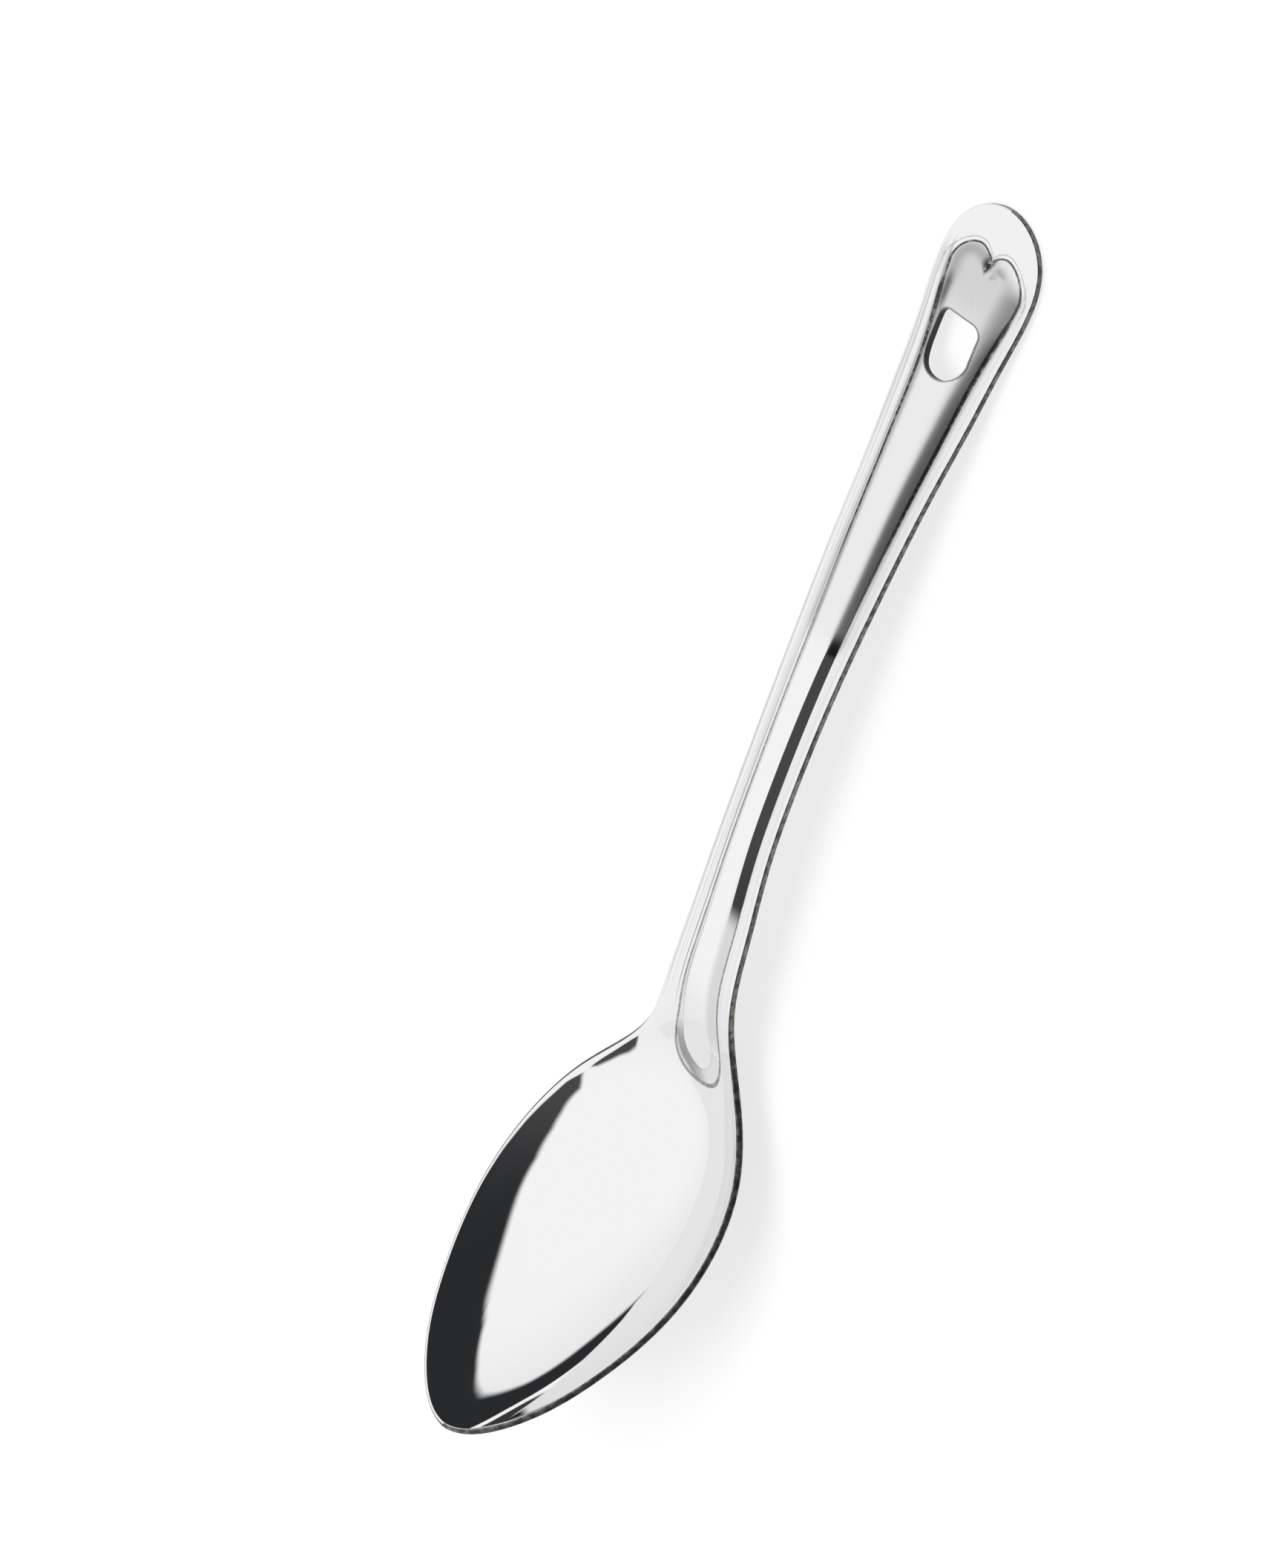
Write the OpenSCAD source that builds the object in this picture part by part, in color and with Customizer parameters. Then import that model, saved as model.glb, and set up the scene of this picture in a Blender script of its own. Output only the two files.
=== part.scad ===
// Serving spoon, pressed from one sheet of polished stainless steel.
// The axis along the spoon is X, with the bowl's tip at the low end. Y runs across and Z up.
// It lies as on a table, on the bowl's underside and the handle's end.

/* [Overall] */
// Length from the bowl's tip to the handle's end before it is laid down, mm
overall_length = 310; // [260:1:360]
// Width of the bowl at its widest, mm
bowl_width = 62.3; // [52:0.5:72]
// Drop of the sheet's edge from the bowl's tip to the shoulder, mm
rim_dip = 27.2; // [20:0.5:34]
// Thickness of the sheet, mm
sheet_thickness = 1.6; // [1.2:0.1:2]
// Size of the bevel that breaks each edge of the sheet, mm
edge_break = 0.35; // [0.2:0.05:0.5]

/* [Bowl] */
// Depth of the bowl below its edge at the middle, mm
bowl_depth = 14; // [9:0.5:19]

/* [Handle] */
// Height of the raised rib's crown above its creases near the slot, mm
rib_height = 3.5; // [2.6:0.1:4.2]
// Depth of the creases below the sheet's edge, mm
crease_depth = 0.4; // [0.2:0.1:1]
// Length of the sloped nose of the rib where it meets the bowl, mm
nose_length = 10.5; // [8:0.5:13]
// Length of the rounded ends of the rib's two lobes, mm
lobe_length = 7; // [5:0.5:8.5]
// How far the lobes reach past the notch between them, mm
notch_depth = 3.4; // [2:0.2:4]

/* [Hanging slot] */
// Width of the slot, mm
slot_width = 12.3; // [9:0.1:13]
// Length of the slot, mm
slot_length = 15.2; // [13:0.1:17]
// Radius of the two corners at the straight end of the slot, mm
slot_corner = 2.6; // [1.5:0.1:4]

/* [Hidden] */
// Each row of the edge table is one control point of a smooth curve from the bowl's tip to the handle's end
// The columns are the place along the length, the half width and the height
edge_shares = [
  [-0.0157, 0, 0.083],
  [0.0325, 0.2691, -0.119],
  [0.0796, 0.3952, -0.335],
  [0.1371, 0.4953, -0.583],
  [0.1938, 0.5105, -0.796],
  [0.2539, 0.4335, -0.969],
  [0.3028, 0.2252, -1.052],
  [0.3554, 0.157, -0.676],
  [0.4169, 0.1452, -0.552],
  [0.4762, 0.1264, -0.389],
  [0.5373, 0.1252, -0.299],
  [0.5984, 0.1304, -0.225],
  [0.6594, 0.1403, -0.182],
  [0.7212, 0.1555, -0.155],
  [0.7811, 0.1665, -0.152],
  [0.8464, 0.1975, -0.157],
  [0.8991, 0.2101, -0.145],
  [0.9758, 0.272, -0.1],
  [1.0123, 0, -0.04]
];
// Depth of the bowl's middle line at the same control points
depth_shares = [-0.196, 0.393, 0.665, 0.907, 1.049, 0.899, 0.277, -0.026, 0, 0, 0, 0, 0, 0, 0, 0, 0, 0, 0];
// Where the nose's foot and the notch lie, as shares of the edge table
nose_share = 0.3172;
notch_share = 0.935;
// How far the rows bend before and after them, and how far they stay bent, as shares of the table
reach_shares = [0.111, 0.053];
hold_share = 0.0055;
// Where the flanges start and reach full depth, and the slot's middle, as shares of the length
flange_shares = [0.284, 0.336];
slot_share = 0.8887;
// Crease distance from the middle as a share of the half width, along the handle and at the lobes
crease_shares = [0.575, 0.79];
// Where the creases spread from the first to the second
spread_shares = [0.8, 0.965];
// Where the creases fade into the end pad
fade_shares = [0.938, 0.972];
// Where the rib gets taller and rounder, where it sinks again, and how tall it is before and after
rise_shares = [0.6, 0.82];
fall_shares = [0.885, 0.955];
low_rib_share = 0.54;
end_rib_share = 0.4;
// Where the crown ends, as a share of the rib's half width, and how far it has dropped there
shoulder_shares = [0.56, 0.65];
crown_drop_share = 0.05;
// How round the shoulder is before and after the rise, and at the lobes, as a share of the rib's height
shoulder_round_shares = [0.16, 1.286];
lobe_round_share = 0.3;
// How round each section is
bowl_power = 2.1;
rib_power = 2.2;
nose_power = 1.7;
lobe_power = 2;
// Side wall of the pressed rib as a share of the sheet's thickness
wall_share = 0.47;

last = len(edge_shares) - 1;
// Rows of points: how many are in each run, and where along the edge table the runs meet
run_rows = [8, 17, 5, 10, 31, 9, 6, 9, 1];
run_shares = [0, 0.0556, 0.2944, nose_share, 0.3639, 0.9111, notch_share, 0.95, 0.9972, 1];
steps = concat([0], [for (n = [0 : len(run_rows) - 1]) each
  [for (k = [1 : run_rows[n]]) last * (run_shares[n] + (run_shares[n + 1] - run_shares[n]) * k / run_rows[n])]]);
rows = len(steps);
// Columns of points from the middle to the edge: crown, shoulder, side wall and flange
crown_cells = 3;
wall_cells = 4;
flange_cells = 5;
rib_cells = crown_cells + 1 + wall_cells;
half_cells = rib_cells + flange_cells;
cols = 2 * half_cells + 1;

// Smooth curve through the control values; the ends are mirrored, with sign s
function fold(i, s) = i < 0 ? [-i, s] : i > last ? [2 * last - i, s] : [i, 1];
function pick(v, i, s) = v[fold(i, s)[0]] * fold(i, s)[1];
function cell(t) = min(floor(t), last - 1);
function wave(v, i, f, s) =
  (pick(v, i - 1, s) * pow(1 - f, 3)
  + pick(v, i, s) * (3 * pow(f, 3) - 6 * pow(f, 2) + 4)
  + pick(v, i + 1, s) * (3 * f + 3 * pow(f, 2) - 3 * pow(f, 3) + 1)
  + pick(v, i + 2, s) * pow(f, 3)) / 6;
function smooth(v, t, s) = wave(v, cell(t), t - cell(t), s);
function ramp(x, a, b) = let (u = min(1, max(0, (x - a) / (b - a)))) u * u * (3 - 2 * u);

along_list = [for (r = edge_shares) r[0] * overall_length];
half_list = [for (r = edge_shares) r[1] * bowl_width];
height_list = [for (r = edge_shares) r[2] * rim_dip];
depth_list = depth_shares * bowl_depth;

// The edge of the sheet in plan, and the same moved inwards by the bevel
heading_share = 0.0006;
function plan(t) = [smooth(along_list, t, 1), smooth(half_list, t, -1)];
function turn(t) =
  let (e = heading_share * last, d = plan(min(t + e, last)) - plan(max(t - e, 0))) d / norm(d);
function inner(t) =
  t <= 0 ? [plan(0)[0] + edge_break, 0]
  : t >= last ? [plan(last)[0] - edge_break, 0]
  : plan(t) + edge_break * [turn(t)[1], -turn(t)[0]];

// Lengths along the handle turned into steps, near the nose and near the lobes
nose_foot = nose_share * last;
notch = notch_share * last;
nose_step = smooth(along_list, 6, 1) - smooth(along_list, 5, 1);
lobe_step = smooth(along_list, 17, 1) - smooth(along_list, 16, 1);
function mix(v, u) = v[0] + (v[1] - v[0]) * u;
function part_way(x, v) = ramp(x / overall_length, v[0], v[1]);
function crease_part(x) = mix(crease_shares, part_way(x, spread_shares));
function two_lobes(r) = r < 0.5 ? 1 - pow(1 - 2 * r, 2) : 1 - pow(2 * r - 1, 2) / 2;
function nose_part(t) = max(0, (nose_foot - t) * nose_step / nose_length + 1);
function lobe_part(t, r) =
  max(0, (t - notch) * lobe_step / lobe_length - two_lobes(r) * notch_depth / lobe_length + 1);

// The rib: side walls of even slope up to a crown that is almost flat, with a rounded shoulder between
function soft_min(a, b, k) = min(a, b) - pow(max(0, k - abs(a - b)) / k, 3) * k / 6;
function rib_tall(x) =
  rib_height * mix([low_rib_share, 1], part_way(x, rise_shares))
  * mix([1, end_rib_share], part_way(x, fall_shares));
function rib(t, r, x) =
  let (
    reach = pow(pow(r, rib_power) + pow(nose_part(t), nose_power) + pow(lobe_part(t, r), lobe_power),
      1 / rib_power),
    shoulder = mix(shoulder_shares, part_way(x, rise_shares)),
    tall = rib_tall(x),
    soft = tall * mix([mix(shoulder_round_shares, part_way(x, rise_shares)), lobe_round_share],
      part_way(x, fall_shares)),
    side = (1 - reach) * tall / (1 - shoulder),
    crown = tall * (1 - crown_drop_share * pow(min(1.5, reach / shoulder), 2))
  )
  r >= 1 || reach >= 1 ? 0
  : max(0, soft_min(side, crown, soft));

// The rows bend to follow the rib's foot at both ends; e is the wall left beside the hollow below
function nose_bend(r) = 1 - pow(1 - pow(r, rib_power), 1 / nose_power);
function lobe_bend(r) =
  notch_depth * two_lobes(r) - lobe_length * (1 - pow(1 - pow(r, rib_power), 1 / lobe_power));
function bump(t, a, b, c, d) = ramp(t, a, b) * (1 - ramp(t, c, d));
function near(t, at, reach, after) =
  let (hold = hold_share * last, far = reach * last) bump(t, at - far, at - hold, at + after * hold, at + far);
function rib_share(k) =
  k <= crown_cells ? shoulder_shares[0] * k / crown_cells
  : min(1, mix([shoulder_shares[1], 1], (k - crown_cells - 1) / wall_cells));
function bend(t, k, e) =
  let (r = rib_share(k), f = k > rib_cells ? (half_cells - k) / flange_cells : 1)
  f * ((nose_length * nose_bend(r) + e) / nose_step * near(t, nose_foot, reach_shares[0], 1)
  + (lobe_bend(r) - e) / lobe_step * near(t, notch, reach_shares[1], 0));
function crease_fade(x) = part_way(x, flange_shares) * (1 - part_way(x, fade_shares));

// The sheet without its rib: edge line, bowl and creases
function sheet(t, x, y, h, w) =
  let (a = abs(y))
  smooth(height_list, t, 1)
  - max(0, smooth(depth_list, t, 1)) * (1 - pow(a / h, bowl_power))
  - crease_depth * crease_fade(x) * (a > w ? (h - a) / (h - w) : 1);
function across(j, w, h) =
  let (k = abs(j - half_cells), s = sign(j - half_cells))
  s * (k <= rib_cells ? w * rib_share(k) : mix([w, h], (k - rib_cells) / flange_cells));
function point_at(i, j, e, lift) =
  let (
    k = abs(j - half_cells),
    t = min(last, steps[i] + bend(steps[i], k, e)),
    p = inner(t),
    w = p[1] * crease_part(p[0]) - min(e, p[1] / 4),
    y = across(j, w, p[1]),
    g = t < (nose_foot + notch) / 2 ? t - e / nose_step : t + e / lobe_step
  )
  p[1] > 0 ? [p[0], y, sheet(t, p[0], y, p[1], w) + lift * rib(g, rib_share(k), p[0])]
  : [p[0], 0, smooth(height_list, t, 1)];
wall = wall_share * sheet_thickness;
upper = [for (i = [0 : rows - 1]) [for (j = [0 : cols - 1]) point_at(i, j, 0, 1)]];
middle = [for (i = [0 : rows - 1]) [for (j = [0 : cols - 1]) point_at(i, j, wall, 0)]];
hollow = [for (i = [0 : rows - 1]) [for (j = [0 : cols - 1]) point_at(i, j, wall, 1)]];

// Upward direction of the sheet at every point, then the lower face one thickness below it
function face_normal(i, j) =
  let (
    m = i == 0 || i == rows - 1,
    c = m ? half_cells : j,
    du = middle[min(i + 1, rows - 1)][c] - middle[max(i - 1, 0)][c],
    k = i == 0 ? 1 : i == rows - 1 ? rows - 2 : i,
    dv = m ? middle[k][cols - 1] - middle[k][0] : middle[k][min(j + 1, cols - 1)] - middle[k][max(j - 1, 0)],
    n = cross(du, dv)
  ) n / norm(n);
normals = [for (i = [0 : rows - 1]) [for (j = [0 : cols - 1]) face_normal(i, j)]];
lower = [for (i = [0 : rows - 1])
  [for (j = [0 : cols - 1]) hollow[i][j] - sheet_thickness * normals[i][j]]];

// The edge runs from the bowl's tip along the left side to the handle's end and back
loop_size = 2 * (rows - 1);
function loop_row(k) = k < rows ? k : loop_size - k;
function loop_col(k) = k < rows ? cols - 1 : 0;
function loop_at(g, k) = let (q = (k + loop_size) % loop_size) g[loop_row(q)][loop_col(q)];
function outward(k) =
  let (d = loop_at(upper, k - 1) - loop_at(upper, k + 1), n = loop_at(normals, k), c = cross(d, n))
  c / norm(c);
edge_high = [for (k = [0 : loop_size - 1])
  loop_at(upper, k) + edge_break * (outward(k) - loop_at(normals, k))];
edge_low = [for (k = [0 : loop_size - 1])
  loop_at(upper, k) + edge_break * outward(k) - (sheet_thickness - edge_break) * loop_at(normals, k)];

// All points in one list: both faces with their tips once, then the two edge loops
inside = [for (i = [1 : rows - 2]) each [for (j = [0 : cols - 1]) [i, j]]];
face_count = len(inside) + 2;
function flat(g) = concat([g[0][0], g[rows - 1][0]], [for (q = inside) g[q[0]][q[1]]]);
shape = concat(flat(upper), flat(lower), edge_high, edge_low);
function id(i, j) = i == 0 ? 0 : i == rows - 1 ? 1 : 2 + (i - 1) * cols + j;
function loop_id(k, side) = let (q = k % loop_size) side * face_count + id(loop_row(q), loop_col(q));
function tri(a, b, c) = a == b || b == c || a == c ? [] : [[a, b, c]];
function pair(a, b, c, d) = concat(tri(a, b, c), tri(a, c, d));
high_start = 2 * face_count;
low_start = high_start + loop_size;
faces = concat(
  [for (i = [0 : rows - 2]) each [for (j = [0 : cols - 2]) each
    pair(id(i, j), id(i, j + 1), id(i + 1, j + 1), id(i + 1, j))]],
  [for (i = [0 : rows - 2]) each [for (j = [0 : cols - 2]) each
    pair(face_count + id(i, j), face_count + id(i + 1, j), face_count + id(i + 1, j + 1),
      face_count + id(i, j + 1))]],
  [for (k = [0 : loop_size - 1]) let (m = (k + 1) % loop_size) each concat(
    pair(loop_id(k, 0), high_start + k, high_start + m, loop_id(m, 0)),
    pair(high_start + k, low_start + k, low_start + m, high_start + m),
    pair(low_start + k, loop_id(k, 1), loop_id(m, 1), low_start + m))]
);

// Turn that lets the bowl's underside and the handle's end touch one plane, found by halving
under = [for (r = lower) each [for (p = r) [p[0], p[2]]]];
under_bowl = [for (p = under) if (p[0] < overall_length / 2) p];
under_handle = [for (p = under) if (p[0] >= overall_length / 2) p];
function level(g, a) = min([for (p = g) p[1] * cos(a) - p[0] * sin(a)]);
function settle(a, b, n) =
  n == 0 ? (a + b) / 2
  : level(under_handle, (a + b) / 2) > level(under_bowl, (a + b) / 2) ? settle((a + b) / 2, b, n - 1)
  : settle(a, (a + b) / 2, n - 1);
steepest = 25;
halvings = 24;
rest_turn = settle(0, steepest, halvings);
function laid(p) = [p[0] * cos(rest_turn) + p[2] * sin(rest_turn), p[2] * cos(rest_turn) - p[0] * sin(rest_turn)];
laid_points = [for (p = shape) laid(p)];
low_end = min([for (p = laid_points) p[0]]);
high_end = max([for (p = laid_points) p[0]]);
floor_level = min([for (p = laid_points) p[1]]);

// The slot: a round end towards the bowl, a straight end with two rounded corners
module slot_outline() {
  hull() {
    translate([slot_width / 2 - slot_length / 2, 0]) circle(d = slot_width, $fn = 48);
    for (s = [-1, 1])
      translate([slot_length / 2 - slot_corner, s * (slot_width / 2 - slot_corner)])
        circle(r = slot_corner, $fn = 32);
  }
}

module spoon() {
  color([0.8, 0.8, 0.82])
  translate([-(low_end + high_end) / 2, 0, -floor_level])
  rotate([0, rest_turn, 0])
  difference() {
    polyhedron(points = shape, faces = faces, convexity = 6);
    translate([slot_share * overall_length, 0, -rim_dip])
      linear_extrude(height = 2 * rim_dip) slot_outline();
  }
}

spoon();
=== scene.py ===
import math
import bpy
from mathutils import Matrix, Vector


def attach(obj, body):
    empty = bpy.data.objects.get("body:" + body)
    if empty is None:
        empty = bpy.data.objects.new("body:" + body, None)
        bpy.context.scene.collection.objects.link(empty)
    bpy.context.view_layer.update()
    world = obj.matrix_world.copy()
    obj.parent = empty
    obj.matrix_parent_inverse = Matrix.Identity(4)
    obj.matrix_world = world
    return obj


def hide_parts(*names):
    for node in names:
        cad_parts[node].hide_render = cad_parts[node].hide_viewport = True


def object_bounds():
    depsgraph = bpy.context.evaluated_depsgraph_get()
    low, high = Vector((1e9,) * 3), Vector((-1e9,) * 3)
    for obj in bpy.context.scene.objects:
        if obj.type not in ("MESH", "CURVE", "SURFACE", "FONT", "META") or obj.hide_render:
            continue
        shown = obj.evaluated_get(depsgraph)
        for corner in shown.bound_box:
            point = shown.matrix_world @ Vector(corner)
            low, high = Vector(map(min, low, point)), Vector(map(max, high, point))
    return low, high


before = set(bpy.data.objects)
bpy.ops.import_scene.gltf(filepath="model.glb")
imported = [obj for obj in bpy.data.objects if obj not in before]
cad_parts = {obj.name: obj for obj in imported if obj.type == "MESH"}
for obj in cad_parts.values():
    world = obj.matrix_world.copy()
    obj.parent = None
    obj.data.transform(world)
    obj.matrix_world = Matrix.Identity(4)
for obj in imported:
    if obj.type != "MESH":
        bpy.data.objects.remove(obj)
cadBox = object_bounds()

from types import SimpleNamespace

import bpy
from mathutils import Matrix, Vector

# Serving spoon pressed from one sheet of polished steel, lying on a pale floor.
# Lengths are in metres. Along the spoon is X, with the bowl at the low end, and Z is up.

spoon = {
    "length": 0.310,
    "bowlWidth": 0.0623,
    "rimDip": 0.0272,
    "thickness": 0.0016,
    "edgeRadius": 0.00035,
    "bowlDepth": 0.014,
    "ribHeight": 0.00365,
    "creaseDepth": 0.00055,
    "noseLength": 0.0105,
    "lobeLength": 0.007,
    "notchDepth": 0.0034,
    "slotWidth": 0.0123,
    "slotLength": 0.0152,
    "slotCorner": 0.0026,
    "restTurn": math.radians(8.78825),
}

# Control points of the sheet's edge from the bowl's tip to the handle's end:
# place along the length, half width, height and depth of the bowl's middle line, as shares
edgeShares = [
    (-0.0157, 0, 0.083, -0.196),
    (0.0325, 0.2691, -0.119, 0.393),
    (0.0796, 0.3952, -0.335, 0.665),
    (0.1371, 0.4953, -0.583, 0.907),
    (0.1938, 0.5105, -0.796, 1.049),
    (0.2539, 0.4335, -0.969, 0.899),
    (0.3028, 0.2252, -1.052, 0.277),
    (0.3554, 0.157, -0.676, -0.026),
    (0.4169, 0.1452, -0.552, 0),
    (0.4762, 0.1264, -0.389, 0),
    (0.5373, 0.1252, -0.299, 0),
    (0.5984, 0.1304, -0.225, 0),
    (0.6594, 0.1403, -0.182, 0),
    (0.7212, 0.1555, -0.155, 0),
    (0.7811, 0.1665, -0.152, 0),
    (0.8464, 0.1975, -0.157, 0),
    (0.8991, 0.2101, -0.145, 0),
    (0.9758, 0.272, -0.1, 0),
    (1.0123, 0, -0.04, 0),
]

# Where the pressed rib starts, changes and ends. Steps count the control points of the edge
ribForm = {
    "noseFoot": 5.71,  # steps to the foot of the rib's nose, and to the notch between its lobes
    "notch": 16.83,
    "noseReach": 2.0,  # steps over which the rows bend round them, and stay bent
    "lobeReach": 0.95,
    "hold": 0.1,
    "ribPower": 2.2,  # how round each section is
    "nosePower": 1.7,
    "bowlPower": 2.1,
    "ribRise": (0.6, 0.82),  # the rib gets taller between these shares of the length
    "ribRound": (0.6, 0.75),  # its shoulder gets rounder between these
    "ribFall": (0.885, 0.955),  # and it sinks towards the lobes between these
    "lowRib": 0.56,  # share of the full height before it gets taller, and at the lobes
    "endRib": 0.4,
    "shoulder": (0.52, 0.65),  # where the crown ends, as a share of the rib's half width
    "shoulderSoft": (0.09, 1.286),  # how round the shoulder is, as a share of the rib's height
    "lobeSoft": 0.3,
    "crownDrop": 0.05,  # share of the height that the crown has dropped where it ends
    "dropEnd": 1.5,  # it stops dropping at this many times that distance
    "creaseSoft": 0.00004,
    "wallShare": 0.47,  # the rib's side wall, as a share of the thickness
    "tipWall": 0.25,  # and the most it takes of the half width
    "flangeStart": (0.284, 0.336),  # shares of the length where the creases deepen, and where they fade
    "fade": (0.938, 0.972),
    "creaseShares": (0.565, 0.635, 0.79),  # crease as a share of the half width at neck, slot and lobes
    "widen": (0.62, 0.82),  # shares of the length where it goes from the first to the second
    "spread": (0.84, 0.965),  # and on to the third
    "slotShare": 0.8887,  # the slot's middle
}

sheetMesh = {
    # rows of points up to each step along the edge
    "rowRuns": [(26, 0.6), (80, 5.2), (60, 6.5), (120, 15.6), (130, 17.3), (40, 18.0)],
    "ribCells": 28,
    "flangeCells": 11,
    "arcCells": 4,
    "cutterSides": 128,
    "weld": 1e-7,
    "sharpAngle": math.radians(38),
    "holdBack": 1e-4,  # keeps the last step inside the curve's last stretch
    "leastHalf": 1e-9,  # least widths that anything is divided by
    "leastCrease": 1e-5,
    "fitInside": 0.9999,
}

# Stored on the faces: 0 is polished steel, 1 the raw edge and 2 the wall of the slot
rawMarks = {"polished": 0.0, "edge": 1.0, "slot": 2.0}


# One socket of a node tree: sums and products written on it add the nodes that work them out
class Wire:
    def __init__(self, net, socket):
        self.net = net
        self.socket = socket

    def join(self, operation, left, right):
        if not (isVector(left) or isVector(right)):
            return self.net.make("ShaderNodeMath", left, right, operation=operation)
        if operation == "MULTIPLY" and not (isVector(left) and isVector(right)):
            pair = (left, right) if isVector(left) else (right, left)
            return self.net.make("ShaderNodeVectorMath", *pair, operation="SCALE")
        return self.net.make("ShaderNodeVectorMath", left, right, operation=operation)

    def __add__(self, other):
        return self.join("ADD", self, other)

    def __radd__(self, other):
        return self.join("ADD", other, self)

    def __sub__(self, other):
        return self.join("SUBTRACT", self, other)

    def __rsub__(self, other):
        return self.join("SUBTRACT", other, self)

    def __mul__(self, other):
        return self.join("MULTIPLY", self, other)

    def __rmul__(self, other):
        return self.join("MULTIPLY", other, self)

    def __truediv__(self, other):
        return self.join("DIVIDE", self, other)

    def __rtruediv__(self, other):
        return self.join("DIVIDE", other, self)

    def __pow__(self, other):
        return self.join("POWER", self, other)

    def __gt__(self, other):
        return self.join("GREATER_THAN", self, other)

    def __lt__(self, other):
        return self.join("LESS_THAN", self, other)

    def least(self, other):
        return self.join("MINIMUM", self, other)

    def most(self, other):
        return self.join("MAXIMUM", self, other)

    def only(self, operation):
        return self.net.make("ShaderNodeMath", self, operation=operation)

    def limited(self):
        return self.least(1.0).most(0.0)


def isVector(value):
    if isinstance(value, Wire):
        return value.socket.type in ("VECTOR", "RGBA")
    return isinstance(value, (tuple, Vector))


# A node tree that grows by one method
class Net:
    def __init__(self, tree):
        self.tree = tree

    def make(self, kind, *values, out=0, stops=None, named=None, **settings):
        node = self.tree.nodes.new(kind)
        for name, value in settings.items():
            setattr(node, name, value)
        if stops:
            setStops(node, stops)
        sockets = [s for s in node.inputs if s.enabled]
        for key, value in [*enumerate(values), *(named or {}).items()]:
            socket = sockets[key] if isinstance(key, int) else next(s for s in sockets if s.name == key)
            if isinstance(value, Wire):
                self.tree.links.new(value.socket, socket)
            elif value is not None:
                socket.default_value = value
        exits = [s for s in node.outputs if s.enabled]
        if not exits:
            return None
        found = exits[out] if isinstance(out, int) else next(s for s in exits if s.name == out)
        return Wire(self, found)

    def parts(self, vector):
        split = self.make("ShaderNodeSeparateXYZ", vector)
        return [Wire(self, s) for s in split.socket.node.outputs]

    def vector(self, x, y, z):
        return self.make("ShaderNodeCombineXYZ", x, y, z)


def setStops(node, stops):
    ramp = node.color_ramp
    while len(ramp.elements) < len(stops):
        ramp.elements.new(1.0)
    for element, (place, colour) in zip(ramp.elements, stops):
        element.position = place
        element.color = colour


def total(wires):
    first, *others = wires
    for wire in others:
        first = first + wire
    return first


# From low to high as a share goes from 0 to 1
def mix(low, high, share):
    return low + (high - low) * share


def mixColour(net, share, low, high):
    return net.make("ShaderNodeMix", share, low, high, data_type="RGBA")


def smoothStep(value, low, high):
    return value.net.make("ShaderNodeMapRange", value, low, high, 0.0, 1.0, interpolation_type="SMOOTHSTEP")


def bump(value, start, full, held, end):
    return smoothStep(value, start, full) * (1.0 - smoothStep(value, held, end))


# Cubic curve weights of the four control points round a place, and their slopes
def curveWeights(f):
    g = 1.0 - f
    return [
        g * g * g / 6.0,
        (3.0 * f * f * f - 6.0 * f * f + 4.0) / 6.0,
        (3.0 * f + 3.0 * f * f - 3.0 * f * f * f + 1.0) / 6.0,
        f * f * f / 6.0,
    ]


def curveSlopes(f):
    g = 1.0 - f
    return [g * g * -0.5, 1.5 * f * f - 2.0 * f, 0.5 + f - 1.5 * f * f, f * f * 0.5]


def curveValue(values, place):
    cell = int(place)
    return sum(w * v for w, v in zip(curveWeights(place - cell), values[cell - 1 : cell + 3]))


# The control points, with one mirrored point past each end
def makeControls():
    rows = [
        (a * spoon["length"], h * spoon["bowlWidth"], z * spoon["rimDip"], d * spoon["bowlDepth"])
        for a, h, z, d in edgeShares
    ]
    first = (rows[1][0], -rows[1][1], rows[1][2], rows[1][3])
    final = (rows[-2][0], -rows[-2][1], rows[-2][2], rows[-2][3])
    rows = [first, *rows, final]
    mesh = bpy.data.meshes.new("edge controls")
    mesh.from_pydata([r[:3] for r in rows], [], [])
    depth = mesh.attributes.new("depth", "FLOAT", "POINT")
    depth.data.foreach_set("value", [r[3] for r in rows])
    controls = bpy.data.objects.new("pressedSpoon", mesh)
    bpy.context.scene.collection.objects.link(controls)
    return controls


def sampled(net, geometry, field, index, kind="FLOAT_VECTOR"):
    return net.make("GeometryNodeSampleIndex", geometry, field, index, data_type=kind, clamp=True)


# Place, heading and depth at a number of steps along the edge
def edgeAt(net, controls, steps):
    final = len(edgeShares) - 1
    cell = steps.least(final - sheetMesh["holdBack"]).only("FLOOR")
    weights = curveWeights(steps - cell)
    slopes = curveSlopes(steps - cell)
    position = net.make("GeometryNodeInputPosition")
    depthField = net.make("GeometryNodeInputNamedAttribute", "depth", data_type="FLOAT")
    near = [cell + float(i) for i in range(4)]
    points = [sampled(net, controls, position, i) for i in near]
    depths = [sampled(net, controls, depthField, i, "FLOAT") for i in near]
    place = total(p * w for p, w in zip(points, weights))
    heading = total(p * s for p, s in zip(points, slopes))
    depth = total(d * w for d, w in zip(depths, weights))
    return place, heading, depth


def twoLobes(r):
    low = 1.0 - (1.0 - 2.0 * r) ** 2.0
    high = 1.0 - 0.5 * (2.0 * r - 1.0) ** 2.0
    return low * (r < 0.5) + high * (1.0 - (r < 0.5))


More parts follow.
